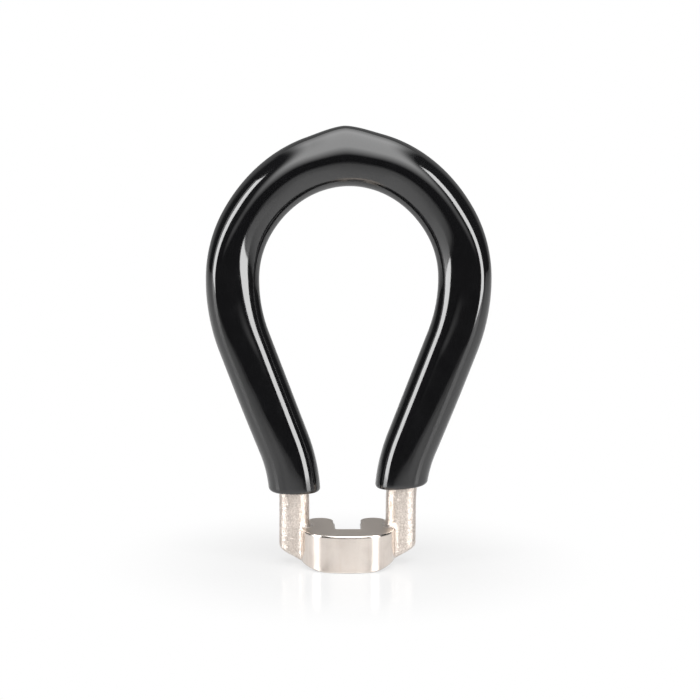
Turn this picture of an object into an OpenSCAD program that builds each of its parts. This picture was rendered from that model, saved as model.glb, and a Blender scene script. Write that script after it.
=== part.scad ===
// Loop-handled spoke wrench for one nipple size.
// Stands on its head: X across the loop, Y from front to back, Z up.
// The head's plan is centred on the origin and its foot lies at Z = 0.
// Sizes in millimetres.

/* [Head] */
// Width of the head across its side walls
head_w = 11.8; // [9:0.1:14]
// Depth of the head from the front face to the backs of the prongs
head_depth = 11; // [9:0.1:14]
// Height of the head, which grips the flats of the nipple
head_h = 4.8; // [3.6:0.1:6]
// Radius of the bowed front face, seen from above
front_r = 10.5; // [9:0.1:16]
// Radius where the front face turns into the side walls
front_corner_r = 4.5; // [1:0.1:5]
// Bevel along the top edge of the front
edge_bevel = 0.25; // [0.1:0.05:0.5]
// Width of each prong beside the slot's mouth
prong_w = 3.3; // [3:0.1:3.6]

/* [Nipple slot] */
// Across the flats of the nipple that the slot takes
nipple_af = 3.23; // [3:0.01:4.5]
// Play between the nipple's flats and the slot, both sides together
slot_play = 0.04; // [0.02:0.01:0.15]
// Length of the parallel seat, from the slot's floor
seat_len = 3.4; // [2.8:0.1:4.4]
// How much wider the mouth is than the seat
mouth_flare = 0.2; // [0:0.05:0.6]
// Length over which the seat opens out to the mouth
flare_len = 0.4; // [0.2:0.1:1.2]
// Thickness of the head between its front face and the slot's floor
front_wall = 4.35; // [3.4:0.05:5.5]
// Radius in the two corners of the slot's floor
slot_corner_r = 0.25; // [0.1:0.05:0.5]

/* [Casting bars] */
// Width of the cast bar, seen from the front
bar_w = 3.8; // [3:0.1:5]
// Thickness of the cast bar from front to back
bar_t = 4.2; // [3.2:0.1:5.4]
// Radius of the bar's four long edges
bar_corner_r = 1.4; // [0.8:0.1:1.5]
// Distance of each upright from the middle of the head
stem_x = 6.8; // [6:0.1:8]
// How far the plane of the bars lies behind the middle of the head
bar_y = 1.4; // [0.8:0.1:2]
// Radius of the hollow corner between side wall and upright
side_fillet_r = 0.6; // [0.3:0.1:0.9]
// Radius of the hollow corner between upright and top face
foot_fillet_r = 0.5; // [0.2:0.1:0.9]

/* [Underside] */
// Half width of the flat foot on the left, at the front corners
foot_half_w_left = 3; // [2:0.1:4]
// Half width of the flat foot on the right, at the front corners
foot_half_w_right = 2.6; // [2:0.1:4]
// How far the slopes open out towards the back, in degrees
under_splay = 9; // [0:1:15]
// Radius where the foot curves up to the slopes
foot_curve_r = 5.2; // [3:0.1:8]
// Slope of the underside below the uprights, in degrees
under_slope = 29; // [15:1:40]

/* [Loop] */
// Height at which the uprights start to lean outwards
bend_z = 7.7; // [6.5:0.1:10]
// Radius of the outward bend, at the middle of the bar
bend_r = 21.8; // [15:0.1:30]
// Lean of the straight flanks, in degrees
lean = 20.9; // [14:0.1:28]
// Height at which the loop is widest
wide_z = 36.5; // [32:0.1:42]
// Radius of the loop's sides, at the middle of the bar
side_r = 22.5; // [18:0.1:28]
// Angle above the widest point where the sides meet the crown, in degrees
crown_join = 1; // [0:1:15]

/* [Dipped grip] */
// Wall of the dipped coat outside the bar at its two ends
wall_end = 1.28; // [0.8:0.01:2]
// Wall of the coat on the outside of the legs and sides
wall_out = 1.47; // [1:0.01:2.4]
// Wall of the coat on the inside of the legs and sides
wall_in = 1.48; // [0.8:0.01:2.2]
// Wall of the coat on the outside of the crown, without the drip
wall_crown = 2.27; // [1.2:0.01:3]
// Wall of the coat on the inside of the crown
wall_crown_in = 1.06; // [0.8:0.01:2.2]
// Wall of the coat at the front and the back
wall_face = 1.2; // [0.8:0.01:2]
// Height of the drip peak that the dip leaves on the crown
drip_h = 0.56; // [0:0.01:1.2]
// Half length of the drip along the crown
drip_len = 3.9; // [3:0.1:10]
// How far the drip's peak lies to the left of the middle
drip_off = 0.5; // [0:0.1:2]
// Height of the coat's end on the left upright
dip_z_left = 9.35; // [8.5:0.05:14]
// Height of the coat's end on the right upright
dip_z_right = 10; // [8.5:0.05:14]
// Rise of the left end's edge away from the middle, in degrees
dip_tilt_left = 0; // [-8:0.5:8]
// Rise of the right end's edge away from the middle, in degrees
dip_tilt_right = 4.8; // [-8:0.5:8]
// Radius of the rounded lip at the coat's ends
lip_r = 0.45; // [0.2:0.05:0.8]

/* [Hidden] */
// Sub-part to draw

// How far cutting bodies run past what they cut
overrun = 1;

// Smoothness: whole circles of the bowed front, of the small hollows and of the uprights' hollows
front_fn = 120;
small_fn = 32;
edge_fn = 24;

// Share of the head's front half at which the foot's half widths are taken
foot_corner_share = 0.73;

// Largest share of the head's width that a front corner's radius takes
corner_cap_share = 0.4;

// Head in plan
head_front_y = -head_depth / 2;
front_cy = head_front_y + front_r;
corner_r = min(front_corner_r, head_w * corner_cap_share);
corner_x = head_w / 2 - corner_r;
corner_y = front_cy - sqrt(pow(front_r - corner_r, 2) - pow(corner_x, 2));
blend_share = front_r / (front_r - corner_r);
blend_x = corner_x * blend_share;
blend_y = front_cy - (front_cy - corner_y) * blend_share;
seat_w = nipple_af + slot_play;
mouth_w = seat_w + mouth_flare;
slot_y = head_front_y + front_wall;
prong_r = prong_w / 2;
prong_x = mouth_w / 2 + prong_r;
prong_y = head_depth / 2 - prong_r;

// Uprights in plan
stem_front_y = bar_y - bar_t / 2;
head_back_y = bar_y + bar_t / 2 - bar_corner_r;
stem_in_x = stem_x - bar_w / 2;
stem_out_x = stem_x + bar_w / 2;

// Underside, seen from the front
under_tan = foot_curve_r * tan(under_slope / 2);
under_reach_x = stem_out_x + overrun;
under_reach_z = (under_reach_x - under_tan) * tan(under_slope);
foot_corner_y = head_front_y * foot_corner_share;

// Path of the bar's middle on the right-hand side, in X and Z
bend_end = [stem_x + bend_r * (1 - cos(lean)), bend_z + bend_r * sin(lean)];
side_start_z = wide_z - side_r * sin(lean);
flank_len = (side_start_z - bend_end[1]) / cos(lean);
side_cx = bend_end[0] + flank_len * sin(lean) - side_r * cos(lean);
crown_r = side_r + side_cx / cos(crown_join);
crown_z = wide_z - side_cx * tan(crown_join);

// Lengths along that path, measured from the start of the bend
arc_unit = PI / 180;
bend_len = bend_r * lean * arc_unit;
flank_s = bend_len + flank_len;
side_s = flank_s + side_r * (lean + crown_join) * arc_unit;
top_s = side_s + crown_r * (90 - crown_join) * arc_unit;

// Stations along each half of the loop, stations round each lip, points round each corner of a ring
half_steps = 33;
lip_steps = 3;
corner_n = 7;
ring_n = 4 * corner_n;
// Squareness of the coat's rounded section on the legs and on the crown, 2 being an ellipse
leg_power = 2.4;
crown_power = 2.05;
// Shares of the half coat between which the section changes from one to the other
leg_power_share = 0.54;
crown_power_share = 0.72;
// How much deeper the crown's section grows towards its outside, where the coat gathered, as a share
// of its depth, the share of its half width at which that starts, and the shares of the half coat
// between which it sets in
crown_lead_share = 0.2;
lead_pivot_share = 1 / 3;
lead_start_share = 0.42;
lead_end_share = 0.62;
// Shares of the half coat over which its wall grows
end_ramp_share = 0.3;
crown_ramp_share = 0.3;
// Share of the half coat over which the ends' tilt fades, and the length of bar below the ends
tilt_share = 0.16;
tilt_run = 1.5;

steel = [0.80, 0.77, 0.73];
vinyl = [0.05, 0.05, 0.055];

function blend(t) = let(u = min(1, max(0, t))) u * u * (3 - 2 * u);

// Point on the path at length s, and its lean from the vertical
function path_lean(s) =
    s < 0 ? 0 :
    s < bend_len ? s / bend_r / arc_unit :
    s < flank_s ? lean :
    s < side_s ? lean - (s - flank_s) / side_r / arc_unit :
    -crown_join - (s - side_s) / crown_r / arc_unit;
function path_point(s) =
    let(t = path_lean(s))
    s < 0 ? [stem_x, bend_z + s] :
    s < bend_len ? [stem_x + bend_r * (1 - cos(t)), bend_z + bend_r * sin(t)] :
    s < flank_s ? bend_end + (s - bend_len) * [sin(lean), cos(lean)] :
    s < side_s ? [side_cx + side_r * cos(t), wide_z - side_r * sin(t)] :
    [crown_r * cos(t), crown_z - crown_r * sin(t)];
function path_length_at(z) =
    z < bend_z ? z - bend_z : bend_r * asin(min(1, (z - bend_z) / bend_r)) * arc_unit;

// Front of the head in plan without its round corners
module head_front_plan() {
    polygon([
        [-blend_x, blend_y], [blend_x, blend_y], [head_w / 2, corner_y],
        [head_w / 2, head_back_y], [-head_w / 2, head_back_y], [-head_w / 2, corner_y]
    ]);
}

// Disc whose top edge is bevelled
module bevelled_disc(radius, fn) {
    rotate_extrude($fn = fn)
        polygon([
            [0, 0], [radius, 0], [radius, head_h - edge_bevel],
            [radius - edge_bevel, head_h], [0, head_h]
        ]);
}

// Front of the head: bowed face, round corners and side walls
module head_front() {
    bevel_side = edge_bevel * sqrt(2);
    intersection() {
        translate([0, front_cy, 0])
            bevelled_disc(front_r, front_fn);
        translate([-blend_x, head_front_y - overrun, -overrun])
            cube([2 * blend_x, head_back_y - head_front_y + overrun, head_h + 2 * overrun]);
    }
    for (side = [0, 1])
        mirror([side, 0, 0]) {
            intersection() {
                translate([corner_x, corner_y, 0])
                    bevelled_disc(corner_r, small_fn);
                translate([blend_x, head_front_y, -overrun])
                    cube([head_w / 2, corner_y - head_front_y, head_h + 2 * overrun]);
            }
            difference() {
                translate([blend_x, corner_y, 0])
                    cube([head_w / 2 - blend_x, head_back_y - corner_y, head_h]);
                translate([head_w / 2, (corner_y + head_back_y) / 2, head_h])
                    rotate([0, 45, 0])
                        cube([bevel_side, head_back_y - corner_y + 2 * overrun, bevel_side], center = true);
            }
        }
}

// Two prongs with round ends, one on each side of the slot
module prongs_plan() {
    for (side = [-1, 1])
        translate([side * prong_x, 0]) {
            translate([-prong_r, slot_y - overrun])
                square([prong_w, prong_y - slot_y + overrun]);
            translate([0, prong_y])
                circle(r = prong_r, $fn = small_fn * 2);
        }
}

// Hollow vertical corners where the side walls meet the uprights
module side_hollows_plan() {
    for (side = [0, 1])
        mirror([side, 0])
            translate([head_w / 2, stem_front_y])
                difference() {
                    translate([-side_fillet_r / 2, -side_fillet_r])
                        square([side_fillet_r * 3 / 2, side_fillet_r * 3 / 2]);
                    translate([side_fillet_r, -side_fillet_r])
                        circle(r = side_fillet_r, $fn = small_fn);
                }
}

// Slot for the nipple: parallel seat, short flare and wider mouth
module slot_plan() {
    flare_y = slot_y + seat_len;
    mouth_y = head_depth / 2 + overrun;
    polygon([
        [-seat_w / 2, slot_y + slot_corner_r], [-seat_w / 2 + slot_corner_r, slot_y],
        [seat_w / 2 - slot_corner_r, slot_y], [seat_w / 2, slot_y + slot_corner_r],
        [seat_w / 2, flare_y], [mouth_w / 2, flare_y + flare_len], [mouth_w / 2, mouth_y],
        [-mouth_w / 2, mouth_y], [-mouth_w / 2, flare_y + flare_len], [-seat_w / 2, flare_y]
    ]);
    for (side = [-1, 1])
        translate([side * (seat_w / 2 - slot_corner_r), slot_y + slot_corner_r])
            circle(r = slot_corner_r, $fn = small_fn);
}

// Hollow corner at the foot of the right-hand upright, on the head's top face
module upright_hollow() {
    edge_x = stem_in_x + bar_corner_r;
    edge_y = bar_t / 2 - bar_corner_r;
    module hollow_profile() {
        difference() {
            translate([-foot_fillet_r / 2, -foot_fillet_r / 2])
                square(foot_fillet_r * 3 / 2);
            translate([foot_fillet_r, foot_fillet_r])
                circle(r = foot_fillet_r, $fn = small_fn);
        }
    }
    for (end = [-1, 1])
        translate([edge_x, bar_y + end * edge_y, head_h])
            rotate([0, 0, end > 0 ? 90 : 180])
                rotate_extrude(angle = 90, $fn = edge_fn)
                    translate([bar_corner_r, 0])
                        hollow_profile();
    translate([stem_in_x, bar_y + edge_y, head_h])
        rotate([90, 0, 0])
            linear_extrude(2 * edge_y)
                mirror([1, 0])
                    hollow_profile();
}

// What the underside's slopes and curves cut away
module below_underside() {
    slope_x = under_tan * (1 + cos(under_slope));
    slope_z = under_tan * sin(under_slope);
    for (side = [-1, 1])
        translate([side * (side > 0 ? foot_half_w_right : foot_half_w_left), foot_corner_y, 0])
            rotate([0, 0, -side * under_splay])
                translate([0, 2 * head_depth, 0])
                    rotate([90, 0, 0])
                        linear_extrude(3 * head_depth)
                            mirror([side > 0 ? 0 : 1, 0])
                                difference() {
                                    polygon([
                                        [0, 0], [0, -overrun],
                                        [under_reach_x, -overrun], [under_reach_x, under_reach_z],
                                        [slope_x, slope_z]
                                    ]);
                                    translate([0, foot_curve_r])
                                        circle(r = foot_curve_r, $fn = front_fn);
                                }
}

// Head with its slot, before the underside is cut
module head() {
    difference() {
        union() {
            head_front();
            linear_extrude(head_h) {
                prongs_plan();
                side_hollows_plan();
            }
        }
        translate([0, 0, -overrun])
            linear_extrude(head_h + 2 * overrun)
                slot_plan();
    }
}

module upright_hollows() {
    intersection() {
        for (side = [0, 1])
            mirror([side, 0, 0])
                upright_hollow();
        linear_extrude(head_h + foot_fillet_r)
            union() {
                head_front_plan();
                prongs_plan();
            }
    }
}

// Section of the cast bar as a ring of points: a rectangle with round corners
function bar_section() = [for (k = [0 : ring_n - 1])
    let(
        corner = floor(k / corner_n),
        a = 90 * corner + 90 * (k % corner_n) / (corner_n - 1),
        sx = corner == 0 || corner == 3 ? 1 : -1,
        sy = corner < 2 ? 1 : -1
    )
    [sx * (bar_w / 2 - bar_corner_r) + bar_corner_r * cos(a),
        sy * (bar_t / 2 - bar_corner_r) + bar_corner_r * sin(a)]];

// Section of the coat: rounded, thicker on one side of the bar, and deeper towards the outside by lead
function coat_section(out, in, face, power, lead) = [for (k = [0 : ring_n - 1])
    let(
        c = cos(360 * k / ring_n),
        d = sin(360 * k / ring_n),
        q = 2 / power,
        middle = (out - in) / 2,
        half_w = bar_w / 2 + (out + in) / 2,
        across = sign(c) * pow(abs(c), q),
        depth = (bar_t / 2 + face) * (1 + lead * (across - lead_pivot_share))
    )
    [middle + half_w * across, sign(d) * depth * pow(abs(d), q)]];

// Length along the path at which the coat ends: side 1 is the right half, -1 the left
function coat_start(side) = path_length_at(side > 0 ? dip_z_right : dip_z_left);
function share_at(s, side) = max(0, (s - coat_start(side)) / (top_s - coat_start(side)));

// Places a section across the path, tilted with the coat's edge near its end
function place(section, s, side) =
    let(
        tilt = side > 0 ? dip_tilt_right : dip_tilt_left,
        below = max(0, coat_start(side) - s) / tilt_run,
        fade = (1 - blend(share_at(s, side) / tilt_share)) * (1 - blend(below)),
        straight = path_lean(s),
        turn = straight * (1 - fade) - tilt * fade,
        stretch = 1 / cos(turn - straight),
        p = path_point(s)
    )
    [for (q = section)
        [side * (p[0] + q[0] * stretch * cos(turn)), bar_y + q[1], p[1] - q[0] * stretch * sin(turn)]];

// Wall of the coat: share runs from its end, 0, to the top of the crown, 1
function crown_blend(share) = blend((share - 1 + crown_ramp_share) / crown_ramp_share);
function wall_outside(share) =
    wall_end + (wall_out - wall_end) * blend(share / end_ramp_share)
        + (wall_crown - wall_out) * crown_blend(share);
function wall_inside(share) = wall_in + (wall_crown_in - wall_in) * crown_blend(share);
function section_power(share) =
    leg_power + (crown_power - leg_power)
        * blend((share - leg_power_share) / (crown_power_share - leg_power_share));
function coat_lead(share) =
    crown_lead_share * blend((share - lead_start_share) / (lead_end_share - lead_start_share));
function drip(s, side) =
    let(d = (top_s - s) * side + drip_off, u = min(1, abs(d) / drip_len))
    drip_h * (1 - u) * (1 - u) * (1 + u);

function coat_ring(s, inset, side) =
    let(share = share_at(s, side))
    place(coat_section(wall_outside(share) + drip(s, side) - inset, wall_inside(share) - inset,
        wall_face - inset, section_power(share), coat_lead(share)), s, side);

// Stations of one half from the coat's end up to just short of the crown's top
function stations(side) =
    [for (i = [0 : half_steps - 1]) coat_start(side) + (top_s - coat_start(side)) * i / half_steps];

function reversed(list) = [for (i = [len(list) - 1 : -1 : 0]) list[i]];

// Rings of the bar inside the coat, from the right end over the crown to the left end
function bar_rings() = concat(
    [for (s = stations(1)) place(bar_section(), s, 1)],
    [place(bar_section(), top_s, 1)],
    reversed([for (s = stations(-1)) place(bar_section(), s, -1)])
);

// Rings of the coat's outside: each half starts with the rounded lip
function coat_half(side) = concat(
    [for (j = [0 : lip_steps])
        let(q = 90 * j / lip_steps)
        coat_ring(coat_start(side) + lip_r * (1 - cos(q)), lip_r * (1 - sin(q)), side)],
    [for (s = stations(side)) if (s > coat_start(side) + 2 * lip_r) coat_ring(s, 0, side)]
);
function coat_rings() = concat(coat_half(1), [coat_ring(top_s, 0, 1)], reversed(coat_half(-1)));

// Faces between the rings of a list, which start at point number from
function skin(count, from, outward) = [
    for (i = [0 : count - 2])
        for (k = [0 : ring_n - 1])
            let(
                a = from + i * ring_n + k,
                b = from + i * ring_n + (k + 1) % ring_n,
                c = a + ring_n,
                d = b + ring_n
            )
            each outward ? [[a, d, b], [a, c, d]] : [[a, b, d], [a, d, c]]];

// Cast bar of the whole loop, from the foot of one upright to the foot of the other
module loop_bar() {
    feet = function(side) [
        place(bar_section(), -bend_z, side),
        place(bar_section(), min(0, coat_start(side) - tilt_run), side)
    ];
    rings = concat(feet(1), bar_rings(), reversed(feet(-1)));
    count = len(rings);
    polyhedron(
        [for (ring = rings) each ring],
        concat(
            skin(count, 0, true),
            [[for (k = [0 : ring_n - 1]) k]],
            [[for (k = [ring_n - 1 : -1 : 0]) (count - 1) * ring_n + k]]
        ),
        convexity = 6
    );
}

module wrench_body() {
    color(steel)
        difference() {
            union() {
                head();
                loop_bar();
                upright_hollows();
            }
            below_underside();
        }
}

// Dipped coat: a loft from lip to lip round the bar, which fills its inside
module vinyl_grip() {
    outside = coat_rings();
    inside = bar_rings();
    n_out = len(outside);
    n_in = len(inside);
    first_in = n_out * ring_n;
    ends = [for (k = [0 : ring_n - 1])
        let(
            m = (k + 1) % ring_n,
            a = (n_out - 1) * ring_n,
            b = first_in + (n_in - 1) * ring_n
        )
        each [
            [k, m, first_in + m], [k, first_in + m, first_in + k],
            [a + m, a + k, b + k], [a + m, b + k, b + m]
        ]];
    color(vinyl)
        polyhedron(
            [for (ring = concat(outside, inside)) each ring],
            concat(skin(n_out, 0, true), skin(n_in, first_in, false), ends),
            convexity = 6
        );
}

wrench_body();
vinyl_grip();
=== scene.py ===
# Loop-handled spoke wrench on a pale studio floor.
# Shapes are worked out in millimetres, in the part's frame, and written to the meshes in metres.

import math

import bpy
import numpy as np
from mathutils import Matrix, Vector


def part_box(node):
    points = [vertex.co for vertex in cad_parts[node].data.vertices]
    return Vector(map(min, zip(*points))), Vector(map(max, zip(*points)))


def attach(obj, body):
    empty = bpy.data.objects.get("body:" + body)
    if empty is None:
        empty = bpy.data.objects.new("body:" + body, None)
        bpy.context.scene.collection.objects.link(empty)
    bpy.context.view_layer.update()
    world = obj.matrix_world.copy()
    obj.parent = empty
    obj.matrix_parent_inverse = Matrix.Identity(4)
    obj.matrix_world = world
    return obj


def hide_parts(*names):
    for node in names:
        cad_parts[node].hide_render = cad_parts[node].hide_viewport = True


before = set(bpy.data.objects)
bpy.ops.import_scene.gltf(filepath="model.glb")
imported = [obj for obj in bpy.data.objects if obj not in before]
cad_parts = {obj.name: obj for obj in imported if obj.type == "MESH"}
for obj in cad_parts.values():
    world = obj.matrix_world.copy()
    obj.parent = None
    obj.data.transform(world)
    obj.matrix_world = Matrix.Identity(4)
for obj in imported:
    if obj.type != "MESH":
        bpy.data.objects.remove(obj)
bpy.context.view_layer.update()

MM = 0.001

# Random lattice behind the dimples
SEED = 7
NOISE_TABLE = 4096
NOISE_PRIMES = (73856093, 19349663, 83492791)

# Head
HEAD_W = 11.8
HEAD_DEPTH = 11.0
HEAD_H = 4.8
FRONT_R = 10.5  # bow of the front, seen from above
FRONT_CORNER_R = 4.5  # round corners between the front and the sides
EDGE_DEPTH = 0.1  # how far back the front's upper edge rolls over
EDGE_ROLL = 0.34  # how far down it starts to

# Prongs and the nipple's slot between them
PRONG_W = 3.3
SEAT_W = 3.27
SEAT_LEN = 3.4
MOUTH_FLARE = 0.2  # how much wider the mouth is than the seat
FLARE_LEN = 0.4
FRONT_WALL = 4.35  # metal between the front and the slot
SLOT_CORNER_R = 0.25

# Section of the casting's bar, and the place of its uprights
BAR_W = 3.8
BAR_T = 4.2
BAR_CORNER_R = 1.4
STEM_X = 6.8
BAR_Y = 1.4

# Path of the bar above the uprights: bend, straight flank, bowed side and crown
BEND_Z = 7.7  # height where the bend starts
BEND_R = 21.8
LEAN = math.radians(20.9)  # lean of the flank
WIDE_Z = 36.5  # height where the loop is widest
SIDE_R = 22.5
CROWN_JOIN = math.radians(1.0)  # how far the side leans inwards where the crown takes over

# Underside, with values for the right (1) and the left (-1)
FOOT_HALF_W = {1: 2.6, -1: 3.0}
FOOT_Y = -HEAD_DEPTH / 2 * 0.73  # place from front to back where the half widths hold
UNDER_SPLAY = math.radians(9.0)  # how the foot widens towards the back
FOOT_CURVE_R = 5.2
UNDER_SLOPE = math.radians(29.0)

# Radii of the hollow corners and the edges
HOLLOW_R = 0.62
CAST_EDGE_R = 0.16
UNDER_EDGE_R = 0.4
GROUND_EDGE_R = 0.06

# Dimples of the unground skin
PEBBLE_SIZE = 0.21
PEBBLE_DEPTH = 0.028
PEBBLE_FADES = (-0.32, 0.08)  # distance to the head less that to an upright: where they start, are full

# What counts as the top face, a sharp edge or a hollow: where each starts and where it is full
TOP_LEVELS = (0.9, 0.98)  # how level the surface is
TOP_HEIGHTS = (HEAD_H - 0.1, HEAD_H - 0.04)
TOP_LIMIT = HEAD_H + 0.2
EDGE_TURNS = (0.25, 0.75)  # how sharply the surface turns
HOLLOW_TURNS = (0.1, 0.4)

# Walls of the dipped coat
WALL_END = 1.28  # outside of the loop, at the coat's ends
WALL_OUT = 1.47  # outside, on the legs
WALL_IN = 1.48  # inside of the loop
WALL_CROWN = 2.27  # outside, at the crown
WALL_CROWN_IN = 1.06  # inside, at the crown
WALL_FACE = 1.2  # front and back

# Drip that the dip left on the crown
DRIP_H = 0.56
DRIP_LEN = 3.9  # half its length
DRIP_OFF = 0.5  # how far its tip lies to the left
DRIP_ROUND = 0.07  # roundness of its tip, as a share of its half length

# Ends of the coat on the right (1) and the left (-1)
DIP_Z = {1: 10.0, -1: 9.35}
DIP_TILT = {1: math.radians(4.8), -1: 0.0}
LIP_R = 0.45

# Power of the section's oval, where 2 is an ellipse
LEG_POWER = 2.4
CROWN_POWER = 1.8

# How much deeper the section gets towards its outer side, and the place across it that keeps its depth
SHOULDER_LEAD = 0.3
CROWN_LEAD = 0.17
LEAD_PIVOT = 1 / 3

# Shares of the way from the coat's end to the crown's top over which each of these changes
LEAD_GATHERS = (0.34, 0.66)
LEAD_EASES = (0.84, 1.0)
POWER_FALLS = (0.54, 0.72)
END_THICKENS = (0.0, 0.3)
CROWN_THICKENS = (0.7, 1.0)
TILT_FADES = (0.0, 0.16)

# Grid of the casting, and how its points are brought on to its surface
CAST_STEP = 0.08
FINE_FOOT_Z = 0.3  # height up to which the grid is finer at the foot
FINE_MARGIN = 0.1  # reach of the finer grid below and above the rolled edge
SLOPE_STEP = CAST_STEP / 4
SLOPE_FLOOR = 0.5  # least slope that a step divides by
NORMAL_FLOOR = 0.1
SURFACE_PASSES = 3

# Hidden bar: where the casting's grid ends, the way from there to the bar's first ring, its rings
CAST_TOP_Z = 11.4
HANDOVER_LEN = 0.8
BAR_CORNER_STEPS = 8
HIDDEN_BAR_STATIONS = 60

# Rings of the coat, and its inside skin
COAT_STATIONS = 190
COAT_RING = 112
LIP_STEPS = 12
SKIN_CORNER_STEPS = 24
SKIN_GAP = 0.03  # how far it lies inside the bar's surface

# Values that follow from those above
FRONT_Y = -HEAD_DEPTH / 2
FRONT_CY = FRONT_Y + FRONT_R
CORNER_X = HEAD_W / 2 - FRONT_CORNER_R
CORNER_Y = FRONT_CY - math.sqrt((FRONT_R - FRONT_CORNER_R) ** 2 - CORNER_X ** 2)
HEAD_BACK_Y = BAR_Y + BAR_T / 2 - BAR_CORNER_R
SLOT_Y = FRONT_Y + FRONT_WALL
MOUTH_W = SEAT_W + MOUTH_FLARE
PRONG_R = PRONG_W / 2
PRONG_X = MOUTH_W / 2 + PRONG_R
PRONG_Y = HEAD_DEPTH / 2 - PRONG_R
PRONG_ROOT_Y = SLOT_Y - 1
COAT_ANGLES = np.linspace(0, 2 * math.pi, COAT_RING, endpoint=False)


def smooth(t):
    """Smooth step from 0 to 1."""
    u = np.clip(t, 0, 1)
    return u * u * (3 - 2 * u)


def rise(value, limits):
    """Smooth step that starts at the first limit and is full at the second."""
    start, end = limits
    return smooth((value - start) / (end - start))


# Path of the bar


class BarPath:
    """Middle line of the bar's right half, by its length s from the start of the outward bend."""

    def __init__(self):
        self.bend_end = (STEM_X + BEND_R * (1 - math.cos(LEAN)), BEND_Z + BEND_R * math.sin(LEAN))
        flank_len = (WIDE_Z - SIDE_R * math.sin(LEAN) - self.bend_end[1]) / math.cos(LEAN)
        self.side_cx = self.bend_end[0] + flank_len * math.sin(LEAN) - SIDE_R * math.cos(LEAN)
        self.crown_r = SIDE_R + self.side_cx / math.cos(CROWN_JOIN)
        self.crown_z = WIDE_Z - self.side_cx * math.tan(CROWN_JOIN)
        self.bend_s = BEND_R * LEAN
        self.flank_s = self.bend_s + flank_len
        self.side_s = self.flank_s + SIDE_R * (LEAN + CROWN_JOIN)
        self.top_s = self.side_s + self.crown_r * (math.pi / 2 - CROWN_JOIN)

    def spans(self, s):
        """Tests for the upright, the bend, the flank and the side; what is left is the crown."""
        return [s < 0, s < self.bend_s, s < self.flank_s, s < self.side_s]

    def lean(self, s):
        """Lean from the vertical, outwards positive."""
        return np.select(
            self.spans(s),
            [0 * s, s / BEND_R, LEAN + 0 * s, LEAN - (s - self.flank_s) / SIDE_R],
            -CROWN_JOIN - (s - self.side_s) / self.crown_r,
        )

    def point(self, s):
        """X and Z of the path."""
        t = self.lean(s)
        x = np.select(
            self.spans(s),
            [
                STEM_X + 0 * s,
                STEM_X + BEND_R * (1 - np.cos(t)),
                self.bend_end[0] + (s - self.bend_s) * math.sin(LEAN),
                self.side_cx + SIDE_R * np.cos(t),
            ],
            self.crown_r * np.cos(t),
        )
        z = np.select(
            self.spans(s),
            [
                BEND_Z + s,
                BEND_Z + BEND_R * np.sin(t),
                self.bend_end[1] + (s - self.bend_s) * math.cos(LEAN),
                WIDE_Z - SIDE_R * np.sin(t),
            ],
            self.crown_z - self.crown_r * np.sin(t),
        )
        return x, z

    def length_at(self, z):
        """Length at which the upright or its bend reaches a height."""
        if z < BEND_Z:
            return z - BEND_Z
        return BEND_R * math.asin((z - BEND_Z) / BEND_R)


PATH = BarPath()


# Meshes


def make_piece(name, points, faces, material, node):
    """Smooth piece that stands for a CAD node, from points in millimetres, kept within its box."""
    low, high = (np.array(corner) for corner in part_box(node))
    mesh = bpy.data.meshes.new(name)
    mesh.from_pydata(np.clip(points * MM, low, high).tolist(), [], faces)
    mesh.validate()
    mesh.shade_smooth()
    mesh.materials.append(material)
    piece = bpy.data.objects.new(name, mesh)
    bpy.context.scene.collection.objects.link(piece)
    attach(piece, "root")
    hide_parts(node)
    return piece


def add_attribute(piece, name, values):
    """Gives each point of a piece a number that its material reads."""
    layer = piece.data.attributes.new(name, "FLOAT", "POINT")
    layer.data.foreach_set("value", np.asarray(values, dtype=np.float32))


def tube_faces(count, ring, first=0, flip=False):
    """Quads between rings of points that follow each other."""
    i, k = np.meshgrid(np.arange(count - 1), np.arange(ring), indexing="ij")
    a = first + i * ring + k
    b = first + i * ring + (k + 1) % ring
    quads = np.stack([a, b, b + ring, a + ring], axis=-1).reshape(-1, 4)
    return (quads[:, ::-1] if flip else quads).tolist()


def lattice_noise(points, size, seed):
    """Smooth noise from -1 to 1 whose lumps are about size across."""
    table = np.random.default_rng(seed).uniform(-1, 1, NOISE_TABLE)
    cell = np.floor(points / size).astype(np.int64)
    share = smooth(points / size - cell)
    total = 0
    for corner in np.ndindex(2, 2, 2):
        x, y, z = ((cell + corner) * NOISE_PRIMES).T
        weight = np.prod(np.where(corner, share, 1 - share), axis=1)
        total = total + table[(x ^ y ^ z) % NOISE_TABLE] * weight
    return total


# Casting: its surface is where a distance is zero, and ax is a place's reach to either side


def round_union(a, b, r):
    """Union of two distances, with a hollow corner of radius r where they meet."""
    return np.maximum(r, np.minimum(a, b)) - np.hypot(np.maximum(r - a, 0), np.maximum(r - b, 0))


def round_cut(a, b, r):
    """Intersection of two distances, with an edge of radius r where they meet."""
    return -round_union(-a, -b, r)


def oval_cut(a, b, reach_a, reach_b):
    """Intersection of two distances, with an oval edge that takes a reach off each of them."""
    u, v = a / reach_a + 1, b / reach_b + 1
    # Nearly the distance to the oval: its own function over that function's slope
    radius = np.maximum(np.hypot(u, v), 0.1)
    edge = radius * (radius - 1) / np.hypot(u / reach_a, v / reach_b).clip(1)
    return np.where((u > 0) & (v > 0), edge, np.maximum(a, b))


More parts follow.
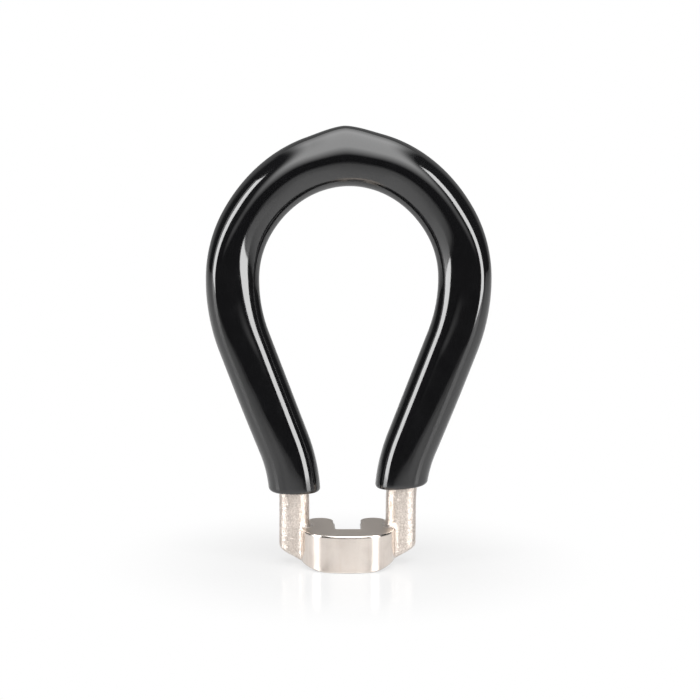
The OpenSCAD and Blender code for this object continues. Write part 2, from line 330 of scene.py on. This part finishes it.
def front_plan(ax, y):
    """Distance to the bowed front, its round corners and the side walls, seen from above."""
    # The outline is an inner one, with sharp corners, grown by the corners' radius
    inner_r = FRONT_R - FRONT_CORNER_R
    to_arc = np.hypot(ax, y - FRONT_CY) - inner_r
    to_side = ax - CORNER_X
    dx, dy = ax - CORNER_X, y - CORNER_Y
    arc_nx, arc_ny = CORNER_X / inner_r, (CORNER_Y - FRONT_CY) / inner_r
    past_corner = (dy * arc_nx - dx * arc_ny > 0) & (dy < 0)
    distance = np.where(past_corner, np.hypot(dx, dy), np.maximum(to_arc, to_side))
    return distance - FRONT_CORNER_R


def prong_plan(ax, y):
    """Distance to a prong with a round end, seen from above."""
    nearest_y = np.clip(y, PRONG_ROOT_Y, PRONG_Y)
    return np.hypot(ax - PRONG_X, y - nearest_y) - PRONG_R


def slot_plan(ax, y):
    """Distance to the nipple's slot, negative inside it."""
    opening = np.clip((y - SLOT_Y - SEAT_LEN) / FLARE_LEN, 0, 1)
    half_w = SEAT_W / 2 + opening * MOUTH_FLARE / 2
    return round_cut(ax - half_w, SLOT_Y - y, SLOT_CORNER_R)


def upright_distance(ax, y, z):
    """Distance to the bar near the head: upright, then the outward bend."""
    outwards = np.where(z < BEND_Z, ax - STEM_X, BEND_R - np.hypot(ax - STEM_X - BEND_R, z - BEND_Z))
    return round_cut(np.abs(outwards) - BAR_W / 2, np.abs(y - BAR_Y) - BAR_T / 2, BAR_CORNER_R)


def underside_distance(x, y, z):
    """Distance below the flat foot, its curves and the slopes, positive outside the metal."""
    half_w = np.where(x > 0, FOOT_HALF_W[1], FOOT_HALF_W[-1])
    reach = (np.abs(x) - half_w) * math.cos(UNDER_SPLAY) - (y - FOOT_Y) * math.sin(UNDER_SPLAY)
    curve = np.hypot(reach, z - FOOT_CURVE_R) - FOOT_CURVE_R
    slope_x = reach - FOOT_CURVE_R * math.sin(UNDER_SLOPE)
    slope_z = z - FOOT_CURVE_R * (1 - math.cos(UNDER_SLOPE))
    slope = slope_x * math.sin(UNDER_SLOPE) - slope_z * math.cos(UNDER_SLOPE)
    on_slope = np.arctan2(reach, FOOT_CURVE_R - z) > UNDER_SLOPE
    return np.where(reach < 0, -z, np.where(on_slope, slope, curve))


def head_distance(ax, y, z):
    """Distance to the head's block and prongs below its top face."""
    front = front_plan(ax, y)
    rolled = oval_cut(front, z - HEAD_H, EDGE_DEPTH, EDGE_ROLL)
    block = round_cut(rolled, y - HEAD_BACK_Y, GROUND_EDGE_R)
    prongs = round_cut(prong_plan(ax, y), z - HEAD_H, CAST_EDGE_R)
    return np.minimum(block, prongs)


def casting_distance(x, y, z):
    """Distance to the whole casting, negative inside the metal."""
    ax = np.abs(x)
    metal = round_union(head_distance(ax, y, z), upright_distance(ax, y, z), HOLLOW_R)
    under = underside_distance(x, y, z)
    ground = round_cut(metal, under, CAST_EDGE_R)
    metal = np.where(ax < HEAD_W / 2, ground, round_cut(metal, under, UNDER_EDGE_R))
    return round_cut(metal, -slot_plan(ax, y), GROUND_EDGE_R)


def grid_lines(low, high, fine_zones):
    """Places of the grid along one axis, twice as close together in the fine zones."""
    lines = [low]
    while lines[-1] < high:
        fine = any(start <= lines[-1] < end for start, end in fine_zones)
        lines.append(lines[-1] + CAST_STEP * (0.5 if fine else 1.0))
    return np.array(lines)


def surface_net(distance, xs, ys, zs):
    """Points and quads of the surface where distance is zero, from the lines of a grid."""
    field = distance(xs[:, None, None], ys[None, :, None], zs[None, None, :]).astype(np.float32)

    # The cells that the surface runs through
    shape = tuple(n - 1 for n in field.shape)
    corners = {}
    for offset in np.ndindex(2, 2, 2):
        corners[offset] = field[tuple(slice(o, o + n) for o, n in zip(offset, shape))]
    inside = sum((c < 0).astype(np.int8) for c in corners.values())
    cells = np.argwhere((inside > 0) & (inside < 8))
    index = np.full(shape, -1, dtype=np.int64)
    index[tuple(cells.T)] = np.arange(len(cells))

    # In each of them one point, in the middle of where the surface crosses the cell's edges
    total = np.zeros((len(cells), 3))
    crossings = np.zeros(len(cells))
    at = {offset: corner[tuple(cells.T)] for offset, corner in corners.items()}
    for offset in np.ndindex(2, 2, 2):
        for axis in range(3):
            if offset[axis]:
                continue
            end = tuple(1 if i == axis else o for i, o in enumerate(offset))
            a, b = at[offset], at[end]
            crosses = (a < 0) != (b < 0)
            share = np.where(crosses, a / np.where(crosses, a - b, 1), 0)
            place = np.array(offset, dtype=float) + 0 * total
            place[:, axis] += share
            total += place * crosses[:, None]
            crossings += crosses
    points = total / crossings[:, None]
    for axis, lines in enumerate((xs, ys, zs)):
        cell = cells[:, axis]
        points[:, axis] = lines[cell] + points[:, axis] * (lines[cell + 1] - lines[cell])

    # One quad round each edge of the grid that the surface crosses
    quads = []
    solid = field < 0
    for axis in range(3):
        first = [slice(1, -1)] * 3
        second = [slice(1, -1)] * 3
        first[axis] = slice(0, -1)
        second[axis] = slice(1, None)
        a, b = solid[tuple(first)], solid[tuple(second)]
        edges = np.argwhere(a != b)
        outwards = a[tuple(edges.T)]
        edges = edges + [0 if i == axis else 1 for i in range(3)]
        u, v = (axis + 1) % 3, (axis + 2) % 3
        ring = []
        for du, dv in ((-1, -1), (0, -1), (0, 0), (-1, 0)):
            cell = edges.copy()
            cell[:, u] += du
            cell[:, v] += dv
            ring.append(index[tuple(cell.T)])
        quad = np.stack(ring, axis=1)
        quads.append(np.where(outwards[:, None], quad, quad[:, ::-1]))
    return points, np.concatenate(quads)


def slope_of(distance, points):
    """Gradient of a distance at points."""
    slope = np.empty_like(points)
    for axis, shift in enumerate(SLOPE_STEP * np.eye(3)):
        slope[:, axis] = distance(*(points + shift).T) - distance(*(points - shift).T)
    return slope / (2 * SLOPE_STEP)


def onto_surface(distance, points):
    """Moves points on to the surface where distance is zero, a little closer with each pass."""
    for _ in range(SURFACE_PASSES):
        slope = slope_of(distance, points)
        reach = distance(*points.T) / np.maximum(np.sum(slope ** 2, axis=1), SLOPE_FLOOR ** 2)
        points = points - slope * np.clip(reach, -CAST_STEP, CAST_STEP)[:, None]
    return points


def boundary_loops(faces):
    """Loops of points along the open edges, each in the order of its faces."""
    edges = {}
    for side in range(4):
        edges.update(dict.fromkeys(zip(faces[:, side].tolist(), faces[:, (side + 1) % 4].tolist())))
    open_edges = {a: b for a, b in edges if (b, a) not in edges}
    loops = []
    while open_edges:
        start, at = open_edges.popitem()
        loop = [start]
        while at != start:
            loop.append(at)
            at = open_edges.pop(at)
        loops.append(loop)
    return loops


def bridge(points, lower, upper):
    """Triangles between two loops, both sorted by their angle round the lower one's middle."""
    centre = points[lower].mean(axis=0)

    def by_angle(loop):
        angle = np.arctan2(points[loop, 1] - centre[1], points[loop, 0] - centre[0])
        order = np.argsort(angle)
        return [loop[i] for i in order], np.append(angle[order], angle[order[0]] + 2 * math.pi)

    lower, lower_angle = by_angle(lower)
    upper, upper_angle = by_angle(upper)
    faces = []
    i = j = 0
    while i < len(lower) or j < len(upper):
        a, b = lower[i % len(lower)], upper[j % len(upper)]
        if j == len(upper) or (i < len(lower) and lower_angle[i + 1] < upper_angle[j + 1]):
            faces.append((a, lower[(i + 1) % len(lower)], b))
            i += 1
        else:
            faces.append((a, upper[(j + 1) % len(upper)], b))
            j += 1
    return faces


def bar_section(steps):
    """Ring of points round the bar: a rectangle with round corners."""
    ring = []
    for corner in range(4):
        sx = 1 if corner in (0, 3) else -1
        sy = 1 if corner < 2 else -1
        for k in range(steps):
            a = math.pi / 2 * (corner + k / (steps - 1))
            ring.append((
                sx * (BAR_W / 2 - BAR_CORNER_R) + BAR_CORNER_R * math.cos(a),
                sy * (BAR_T / 2 - BAR_CORNER_R) + BAR_CORNER_R * math.sin(a),
            ))
    return np.array(ring)


def place_rings(section, s, turn, side):
    """Points of sections (stations, ring, 2) across the path, each turned by its lean."""
    x, z = PATH.point(s)
    stretch = 1 / np.cos(turn - PATH.lean(s))
    out = section[..., 0] * stretch[:, None]
    return np.stack([
        side * (x[:, None] + out * np.cos(turn)[:, None]),
        BAR_Y + section[..., 1],
        z[:, None] - out * np.sin(turn)[:, None],
    ], axis=-1)


def over_crown(right, left):
    """Rings of both halves in one row, from the right end over the crown to the left end."""
    return np.concatenate([right, left[-2::-1]])


def hidden_bar():
    """Rings of the bar inside the coat."""
    s = np.linspace(PATH.length_at(CAST_TOP_Z) + HANDOVER_LEN, PATH.top_s, HIDDEN_BAR_STATIONS)
    section = bar_section(BAR_CORNER_STEPS)
    section = np.broadcast_to(section, (len(s), *section.shape))
    return over_crown(*(place_rings(section, s, PATH.lean(s), side) for side in (1, -1)))


def cast_share(points):
    """How far points lie on the part of the casting that isn't ground."""
    ax = np.abs(points[:, 0])
    to_head = head_distance(ax, points[:, 1], points[:, 2])
    to_upright = upright_distance(ax, points[:, 1], points[:, 2])
    return rise(to_head - to_upright, PEBBLE_FADES)


def pebbled(points):
    """Sinks points of the unground skin by the small dimples that the mould left."""
    slope = slope_of(casting_distance, points)
    normal = slope / np.maximum(np.linalg.norm(slope, axis=1), NORMAL_FLOOR)[:, None]
    noise = lattice_noise(points, PEBBLE_SIZE, SEED)
    noise += 0.5 * lattice_noise(points, 3 * PEBBLE_SIZE, SEED + 1)
    depth = PEBBLE_DEPTH * cast_share(points) * rise(noise, (-1, 1))
    return points - normal * depth[:, None]


def finish_of(points):
    """Where the casting is left as cast, where its top face lies, and its sharp edges and hollows."""
    x, y, z = points.T
    level = rise(slope_of(casting_distance, points)[:, 2], TOP_LEVELS)
    reach = 2 * CAST_STEP
    turn = -6 * casting_distance(x, y, z)
    for shift in reach * np.eye(3):
        turn = turn + casting_distance(*(points + shift).T) + casting_distance(*(points - shift).T)
    turn = turn / reach
    return {
        "cast": cast_share(points),
        # Mask of the top face, which the plate reads for painted shade as well as a rougher finish
        "top": level * rise(z, TOP_HEIGHTS) * (z < TOP_LIMIT),
        # Mask of the sharp edges, which the plate reads for a painted highlight
        "edge": rise(turn, EDGE_TURNS),
        "hollow": rise(-turn, HOLLOW_TURNS),
    }


def build_casting(material):
    """The steel casting: head, uprights and the bar inside the coat."""
    low = (-STEM_X - BAR_W, FRONT_Y - 2 * CAST_STEP, -2 * CAST_STEP)
    high = (STEM_X + BAR_W, HEAD_DEPTH / 2 + 2 * CAST_STEP, CAST_TOP_Z)
    foot_zone = (low[2], FINE_FOOT_Z)
    top_zone = (HEAD_H - EDGE_ROLL - FINE_MARGIN, HEAD_H + FINE_MARGIN)
    lines = [grid_lines(*axis) for axis in zip(low, high, ((), (), (foot_zone, top_zone)))]
    points, quads = surface_net(casting_distance, *lines)
    points = pebbled(onto_surface(casting_distance, points))

    # The hidden bar, joined to the open tops of the two uprights
    rings = hidden_bar()
    count, ring = rings.shape[:2]
    first = len(points)
    points = np.concatenate([points, rings.reshape(-1, 3)])
    faces = quads.tolist() + tube_faces(count, ring, first)
    for loop in boundary_loops(quads):
        on_right = points[loop, 0].mean() > 0
        start = first if on_right else first + (count - 1) * ring
        faces += bridge(points, loop, list(range(start, start + ring)))

    piece = make_piece("wrench_casting", points, faces, material, "wrench_body")
    for name, values in finish_of(points).items():
        add_attribute(piece, name, values)


# Dipped coat


def coat_turn(s, start, side):
    """Turn of the coat's sections: its dip line's tilt at the end, then the path's lean."""
    share = np.maximum(0, (s - start) / (PATH.top_s - start))
    tilted = 1 - rise(share, TILT_FADES)
    return PATH.lean(s) * (1 - tilted) - DIP_TILT[side] * tilted


def coat_half(side):
    """Rings of one half of the coat, from the inside edge of its lip up to the crown's top."""
    start = PATH.length_at(DIP_Z[side])
    lip_angle = np.linspace(0, math.pi / 2, LIP_STEPS)
    lip_s = start + LIP_R * (1 - np.cos(lip_angle))
    lip_inset = LIP_R * (1 - np.sin(lip_angle))
    rest = np.linspace(start + LIP_R, PATH.top_s, COAT_STATIONS)[1:]
    s = np.concatenate([lip_s, rest])
    inset = np.concatenate([lip_inset, 0 * rest])

    share = np.maximum(0, (s - start) / (PATH.top_s - start))
    crown = rise(share, CROWN_THICKENS)
    outside = WALL_END + (WALL_OUT - WALL_END) * rise(share, END_THICKENS)
    outside += (WALL_CROWN - WALL_OUT) * crown
    from_drip = np.minimum(1, np.hypot(((PATH.top_s - s) * side + DRIP_OFF) / DRIP_LEN, DRIP_ROUND))
    outside += DRIP_H * (1 - from_drip) ** 2 * (1 + from_drip)
    inner = WALL_IN + (WALL_CROWN_IN - WALL_IN) * crown
    oval = LEG_POWER + (CROWN_POWER - LEG_POWER) * rise(share, POWER_FALLS)
    lead = SHOULDER_LEAD * rise(share, LEAD_GATHERS)
    lead += (CROWN_LEAD - SHOULDER_LEAD) * rise(share, LEAD_EASES)

    # The sections: how far each point lies across the bar and in front of it or behind it
    power = 2 / oval[:, None]
    cos, sin = np.cos(COAT_ANGLES), np.sin(COAT_ANGLES)
    across = np.sign(cos) * np.abs(cos) ** power
    middle = (outside - inner)[:, None] / 2
    half_w = (BAR_W + outside + inner)[:, None] / 2 - inset[:, None]
    half_t = BAR_T / 2 + WALL_FACE - inset[:, None]
    deeper = 1 + lead[:, None] * (across - LEAD_PIVOT)
    depth = np.sign(sin) * half_t * np.abs(sin) ** power * deeper
    section = np.stack([middle + half_w * across, depth], axis=-1)
    return place_rings(section, s, coat_turn(s, start, side), side)


def skin_half(side):
    """Rings of one half of the coat's inside skin, a hair inside the bar's surface."""
    start = PATH.length_at(DIP_Z[side])
    s = np.linspace(start, PATH.top_s, HIDDEN_BAR_STATIONS)
    ring = bar_section(SKIN_CORNER_STEPS)
    ring_angle = np.unwrap(np.arctan2(ring[:, 1], ring[:, 0]))
    ring_radius = np.hypot(ring[:, 0], ring[:, 1])
    radius = np.interp(COAT_ANGLES, ring_angle, ring_radius, period=2 * math.pi) - SKIN_GAP
    section = np.stack([radius * np.cos(COAT_ANGLES), radius * np.sin(COAT_ANGLES)], axis=-1)
    section = np.broadcast_to(section, (len(s), *section.shape))
    return place_rings(section, s, coat_turn(s, start, side), side)


def build_coat(material):
    """The vinyl coat: its outer skin, its inside skin and the lips between them."""
    outer = over_crown(coat_half(1), coat_half(-1))
    inner = over_crown(skin_half(1), skin_half(-1))
    points = np.concatenate([outer.reshape(-1, 3), inner.reshape(-1, 3)])
    first_in = outer.shape[0] * COAT_RING
    faces = tube_faces(len(outer), COAT_RING)
    faces += tube_faces(len(inner), COAT_RING, first_in, flip=True)

    # The undersides of the lips, between the two skins
    last = first_in - COAT_RING
    last_in = len(points) - COAT_RING
    for k in range(COAT_RING):
        m = (k + 1) % COAT_RING
        faces.append((first_in + k, first_in + m, m, k))
        faces.append((last + k, last + m, last_in + m, last_in + k))
    make_piece("dipped_coat", points, faces, material, "vinyl_grip")


# Materials


class Value:
    """A shader socket that takes part in arithmetic."""

    def __init__(self, graph, socket):
        self.graph = graph
        self.socket = socket

    def math(self, operation, *others):
        return self.graph.math(operation, self, *others)

    def __add__(self, other):
        return self.math("ADD", other)

    def __radd__(self, other):
        return self.graph.math("ADD", other, self)

    def __sub__(self, other):
        return self.math("SUBTRACT", other)

    def __rsub__(self, other):
        return self.graph.math("SUBTRACT", other, self)

    def __mul__(self, other):
        return self.math("MULTIPLY", other)

    def __rmul__(self, other):
        return self.graph.math("MULTIPLY", other, self)

    def ramp(self, low, high):
        """0 below low, 1 above high, smooth in between."""
        settings = {"interpolation_type": "SMOOTHSTEP"}
        return self.graph.node("ShaderNodeMapRange", settings, {0: self, 1: low, 2: high})


class Graph:
    """Node tree of a material or of the world."""

    def __init__(self, owner):
        owner.use_nodes = True
        self.tree = owner.node_tree
        self.tree.nodes.clear()

    def node(self, kind, settings=None, sockets=None, output=0):
        """Adds a node: its settings first, then the values or links of its sockets."""
        made = self.tree.nodes.new(kind)
        for name, value in (settings or {}).items():
            setattr(made, name, value)
        for name, value in (sockets or {}).items():
            if isinstance(value, Value):
                self.tree.links.new(value.socket, made.inputs[name])
            else:
                made.inputs[name].default_value = value
        return Value(self, made.outputs[output]) if made.outputs else None

    def math(self, operation, *values):
        return self.node("ShaderNodeMath", {"operation": operation}, dict(enumerate(values)))

    def place(self):
        """Position on the piece, in millimetres."""
        metres = self.node("ShaderNodeTexCoord", output="Object")
        return self.node("ShaderNodeVectorMath", {"operation": "SCALE"}, {0: metres, "Scale": 1 / MM})

    def stretched(self, place, scale):
        """Position with each of its directions scaled by its own number."""
        return self.node("ShaderNodeVectorMath", {"operation": "MULTIPLY"}, {0: place, 1: scale})

    def along(self, place, direction):
        """How far a position lies in a direction."""
        settings = {"operation": "DOT_PRODUCT"}
        return self.node("ShaderNodeVectorMath", settings, {0: place, 1: direction}, output=1)

    def noise(self, place, scale, detail=2.0, roughness=0.5):
        sockets = {"Vector": place, "Scale": scale, "Detail": detail, "Roughness": roughness}
        return self.node("ShaderNodeTexNoise", {}, sockets)

    def attribute(self, name):
        return self.node("ShaderNodeAttribute", {"attribute_name": name}, output="Fac")

    def colour(self, share, low, high):
        """Colour between low and high by a share; each is three numbers or another colour."""
        ends = [c if isinstance(c, Value) else (*c, 1.0) for c in (low, high)]
        sockets = {0: share, 6: ends[0], 7: ends[1]}
        return self.node("ShaderNodeMix", {"data_type": "RGBA"}, sockets, output=2)

    def bump(self, height, distance):
        return self.node("ShaderNodeBump", {}, {"Height": height, "Distance": distance})

    def light(self, share, strength):
        """Glowing surface whose brightness varies from none to its full strength."""
        colour = self.colour(share, (0.0, 0.0, 0.0), (1.0, 1.0, 1.0))
        return self.node("ShaderNodeEmission", {}, {"Color": colour, "Strength": strength})

    def ray(self, kind):
        """1 for rays of a kind, such as those from the camera, and 0 for others."""
        return self.node("ShaderNodeLightPath", output=kind)

    def finish(self, shader, kind="ShaderNodeOutputMaterial"):
        self.node(kind, {}, {"Surface": shader})


# Height that a bump of 1 stands for, in metres
RELIEF = 0.03 * MM


def plated_steel():
    """Nickel plate over a ground front, a rougher top face with painted shade and pebbled, cast
    uprights with painted shade in their dimples.
    """
    material = bpy.data.materials.new("satin_nickel_plate")
    graph = Graph(material)
    place = graph.place()
    cast, top = graph.attribute("cast"), graph.attribute("top")
    edge, hollow = graph.attribute("edge"), graph.attribute("hollow")
    streaks = graph.noise(graph.stretched(place, (3.4, 3.4, 0.2)), 1.0, 4.0, 0.62)
    pebbles = graph.noise(place, 4.6, 3.0, 0.6)
    speckle = graph.noise(place, 13.0, 2.0, 0.6)
    cloud = graph.noise(place, 0.45, 2.0, 0.5)

    # Cloudy plate with bright grinding streaks, painted shade in the dimples, painted shade on the
    # rougher top face and a painted highlight on sharp edges
    plate = graph.colour(cloud.ramp(0.35, 0.65), (0.75, 0.668, 0.605), (0.82, 0.737, 0.673))
    plate = graph.colour(streaks.ramp(0.35, 0.65) * 0.4, plate, (0.86, 0.79, 0.73))
    # Painted shade: the dimples of the cast skin are darker
    plate = graph.colour(cast * pebbles.ramp(0.6, 0.4) * 0.5, plate, (0.50, 0.43, 0.37))
    # Painted shade: the top face is made darker, besides its rougher finish
    plate = graph.colour(top * (0.7 + 0.3 * speckle), plate, (0.63, 0.565, 0.505))
    # Painted highlight: sharp convex edges are lighter
    plate = graph.colour(edge * 0.6, plate, (0.90, 0.86, 0.81))
    roughness = 0.13 + 0.06 * streaks + cast * 0.15 + top * 0.17 + hollow * 0.06 + 0.04 * cloud
    relief = pebbles * cast * 2.7 + streaks * (1 - cast) * 0.12 + speckle * (top * 0.5 + 0.05)
    shader = graph.node("ShaderNodeBsdfPrincipled", {}, {
        "Base Color": plate,
        "Metallic": 1.0,
        "Roughness": roughness,
        "Normal": graph.bump(relief, RELIEF),
    })
    graph.finish(shader)
    return material


def black_vinyl():
    """Glossy dip-moulded vinyl, a little wavy, with faint smudges."""
    material = bpy.data.materials.new("dipped_black_vinyl")
    graph = Graph(material)
    place = graph.place()
    wave = graph.noise(place, 0.2, 1.0, 0.4)
    smudge = graph.noise(graph.stretched(place, (0.5, 0.5, 0.3)), 1.0, 3.0, 0.6)
    fine = graph.noise(place, 5.0, 2.0, 0.5)
    base = graph.colour(smudge, (0.0028, 0.0028, 0.0031), (0.0048, 0.0048, 0.0053))
    roughness = 0.06 + 0.05 * smudge.ramp(0.4, 0.75) + 0.02 * fine
    shader = graph.node("ShaderNodeBsdfPrincipled", {}, {
        "Base Color": base,
        "Roughness": roughness,
        "Specular IOR Level": 0.95,
        "Normal": graph.bump(wave + 0.01 * fine, RELIEF),
    })
    graph.finish(shader)
    return material


# Studio

# Camera
CAMERA_AZIMUTH = math.radians(-2.2)
CAMERA_ELEVATION = math.radians(10.0)
CAMERA_ROLL = math.radians(0.32)
CAMERA_DISTANCE = 0.45
CAMERA_TARGET = Vector((0.000185, 0.001, 0.02752))
CAMERA_NEAREST = 0.01
SENSOR_W = 36.0
PIXELS_PER_METRE = 7900.0  # at the target
IMAGE_SIZE = 700

# Side lamps: name, azimuth in degrees, width and brightness
STRIPS = (
    ("left_strip", -71.0, 0.34, 8.0),
    ("left_fringe", -87.0, 0.2, 1.2),
    ("right_strip", 53.0, 0.34, 8.0),
)
STRIP_REACH = 0.9
STRIP_HEIGHT = 0.15  # of their middles
STRIP_LENGTH = 1.3

# Soft arch overhead, an arc round a line that runs sideways below it
ARCH_X = 0.04
ARCH_HEIGHT = 0.05
ARCH_REACH = 0.75
ARCH_RADIANCE = 3.4
ARCH_FROM = math.radians(-4.0)  # where it starts, above the front
ARCH_FULL = math.radians(31.0)  # where it is as bright as it gets
ARCH_BACK = math.radians(100.0)  # where it starts to dim towards the back
ARCH_TO = math.radians(130.0)  # where it ends
ARCH_REAR = 0.4  # what is left of its glow there
ARCH_SIDE = 0.52  # reach to each side
ARCH_DIM = 0.26  # reach to each side where it starts to dim
ARCH_NARROW = 0.15  # how much narrower it is at the front
ARCH_ROWS = 41
ARCH_COLUMNS = 21

# Dark room that only reflections show
ROOM_REACH = 1.3
ROOM_HEIGHT = 1.5
ROOM_DEPTH = -1.2
ROOM_DARK = 0.02  # its glow
ROOM_BACK = 0.3  # glow that its backdrop adds
BACKDROP_SHARES = (0.5, 0.8)  # shares of the reach where the backdrop starts and is full
ROOM_SIDES = 32

# Light that the world adds from all around
WORLD_GLOW = 0.15

# Table
TABLE = (-0.5, -0.072, 0.5, 3.0)  # left, front, right and back edges
TABLE_SHADE = 0.52
TABLE_GLOSS = 0.16
TABLE_ROUGHNESS = 0.13
# In front of the object it gets dimmer twice: from where and to where, in millimetres, and by how much
TABLE_DIMS = ((10.0, 58.0, 0.44), (50.0, 66.0, 0.45))
# To the camera it is white by this share at the object, and wholly white further away
WHITE_SHARE = 0.7
WHITE_REACH = (12.0, 34.0)
# In reflections it is whiter by this share beside the object, in a band that starts and ends softly
BESIDE_SHARE = 0.6
BESIDE_STARTS = (4.0, 8.0)
BESIDE_ENDS = (45.0, 30.0)


def build_camera():
    """Camera in front of the object, a little above it and to its left."""
    data = bpy.data.cameras.new("studio_camera")
    data.sensor_width = SENSOR_W
    data.lens = PIXELS_PER_METRE * CAMERA_DISTANCE / IMAGE_SIZE * SENSOR_W
    data.clip_start = CAMERA_NEAREST
    camera = bpy.data.objects.new("studio_camera", data)
    bpy.context.scene.collection.objects.link(camera)
    away = Vector((
        math.sin(CAMERA_AZIMUTH) * math.cos(CAMERA_ELEVATION),
        -math.cos(CAMERA_AZIMUTH) * math.cos(CAMERA_ELEVATION),
        math.sin(CAMERA_ELEVATION),
    ))
    turn = away.to_track_quat("Z", "Y").to_matrix().to_4x4()
    roll = Matrix.Rotation(CAMERA_ROLL, 4, "Z")
    camera.matrix_world = Matrix.Translation(CAMERA_TARGET + away * CAMERA_DISTANCE) @ turn @ roll
    bpy.context.scene.camera = camera


def soft_box(name, place, target, size, radiance):
    """Rectangular lamp that faces a target, with the brightness that its surface shows."""
    data = bpy.data.lights.new(name, "AREA")
    data.shape = "RECTANGLE"
    data.size, data.size_y = size
    data.energy = radiance * math.pi * size[0] * size[1]
    lamp = bpy.data.objects.new(name, data)
    lamp.visible_camera = False
    bpy.context.scene.collection.objects.link(lamp)
    turn = (Vector(place) - Vector(target)).to_track_quat("Z", "Y").to_matrix().to_4x4()
    lamp.matrix_world = Matrix.Translation(Vector(place)) @ turn


def build_lights():
    """Upright strip lamps round the object."""
    for name, azimuth, width, radiance in STRIPS:
        angle = math.radians(azimuth)
        place = (STRIP_REACH * math.sin(angle), -STRIP_REACH * math.cos(angle), STRIP_HEIGHT)
        soft_box(name, place, (0, 0, STRIP_HEIGHT), (width, STRIP_LENGTH), radiance)


def stage_piece(name, points, faces, material):
    """A piece of the studio, which isn't part of the object."""
    mesh = bpy.data.meshes.new(name)
    mesh.from_pydata(points, [], faces)
    mesh.materials.append(material)
    piece = bpy.data.objects.new(name, mesh)
    bpy.context.scene.collection.objects.link(piece)
    return piece


def build_arch():
    """Arched soft light from behind the object over to its front, dimmer at its ends and sides."""
    angle = np.linspace(ARCH_FROM, ARCH_TO, ARCH_ROWS)[:, None]
    across = np.linspace(-1, 1, ARCH_COLUMNS)[None, :] * ARCH_SIDE
    x = ARCH_X + across + 0 * angle
    y = -ARCH_REACH * np.cos(angle) + 0 * across
    z = ARCH_HEIGHT + ARCH_REACH * np.sin(angle) + 0 * across
    towards_front = np.clip((angle - ARCH_FROM) / (ARCH_FULL - ARCH_FROM), 0, 1)
    width = 1 - ARCH_NARROW * (1 - towards_front)
    towards_side = rise(np.abs(across) / width, (ARCH_SIDE, ARCH_DIM))
    towards_back = rise(angle, (ARCH_TO, ARCH_BACK))
    glow = towards_front * towards_side * (ARCH_REAR + (1 - ARCH_REAR) * towards_back)
    faces = []
    for row in range(ARCH_ROWS - 1):
        for column in range(ARCH_COLUMNS - 1):
            a = row * ARCH_COLUMNS + column
            b = a + ARCH_COLUMNS
            faces.append((a, a + 1, b + 1, b))

    material = bpy.data.materials.new("soft_arch")
    graph = Graph(material)
    graph.finish(graph.light(graph.attribute("glow"), ARCH_RADIANCE))
    points = np.stack([x, y, z], axis=-1).reshape(-1, 3).tolist()
    arch = stage_piece("soft_arch", points, faces, material)
    add_attribute(arch, "glow", glow.ravel())
    arch.visible_camera = False


def build_room():
    """Round dark room with a dim backdrop, which only reflections show."""
    material = bpy.data.materials.new("dark_room")
    graph = Graph(material)
    start, full = (share * ROOM_REACH / MM for share in BACKDROP_SHARES)
    to_back = graph.along(graph.place(), (0, 1, 0)).ramp(start, full)
    graph.finish(graph.light(ROOM_DARK + to_back * ROOM_BACK, 1.0))

    points = []
    for z in (ROOM_DEPTH, ROOM_HEIGHT):
        for i in range(ROOM_SIDES):
            a = 2 * math.pi * i / ROOM_SIDES
            points.append((ROOM_REACH * math.sin(a), ROOM_REACH * math.cos(a), z))
    floor, ceiling = range(ROOM_SIDES), range(ROOM_SIDES, 2 * ROOM_SIDES)
    faces = tube_faces(2, ROOM_SIDES) + [tuple(floor), tuple(ceiling)]
    room = stage_piece("dark_room", points, faces, material)
    room.visible_camera = False
    room.visible_diffuse = False
    room.visible_shadow = False


def build_table():
    """Pale table, white to the camera away from the object."""
    material = bpy.data.materials.new("pale_table")
    graph = Graph(material)
    place = graph.place()
    in_front = graph.along(place, (0, -1, 0))
    dimmed, edge_dimmed = (in_front.ramp(start, end) * by for start, end, by in TABLE_DIMS)
    lit = graph.node("ShaderNodeBsdfPrincipled", {}, {
        "Base Color": graph.colour(dimmed + edge_dimmed, (TABLE_SHADE,) * 3, (0.0, 0.0, 0.0)),
        "Roughness": TABLE_ROUGHNESS,
        "Specular IOR Level": TABLE_GLOSS,
    })
    white = graph.node("ShaderNodeEmission", {}, {"Strength": 1.0})
    reach = graph.node("ShaderNodeVectorMath", {"operation": "LENGTH"}, {0: place}, output=1)
    to_camera = WHITE_SHARE + (1 - WHITE_SHARE) * reach.ramp(*WHITE_REACH)
    beside = graph.along(place, (1, 0, 0)).math("ABSOLUTE").ramp(*BESIDE_STARTS)
    in_gloss = beside * reach.ramp(*BESIDE_ENDS) * BESIDE_SHARE
    share = graph.ray("Is Camera Ray") * to_camera + graph.ray("Is Glossy Ray") * in_gloss
    graph.finish(graph.node("ShaderNodeMixShader", {}, {0: share, 1: lit, 2: white}))
    left, front, right, back = TABLE
    corners = [(left, front, 0), (right, front, 0), (right, back, 0), (left, back, 0)]
    stage_piece("studio_table", corners, [(0, 1, 2, 3)], material)


def build_world():
    """White to the camera, dim to everything else."""
    world = bpy.data.worlds.new("studio_world")
    bpy.context.scene.world = world
    graph = Graph(world)
    dim, white = (
        graph.node("ShaderNodeBackground", {}, {"Color": (1, 1, 1, 1), "Strength": strength})
        for strength in (WORLD_GLOW, 1.0)
    )
    shader = graph.node("ShaderNodeMixShader", {}, {0: graph.ray("Is Camera Ray"), 1: dim, 2: white})
    graph.finish(shader, "ShaderNodeOutputWorld")


build_camera()
build_lights()
build_arch()
build_room()
build_table()
build_world()
build_casting(plated_steel())
build_coat(black_vinyl())

scene = bpy.context.scene
scene.view_settings.view_transform = "Standard"
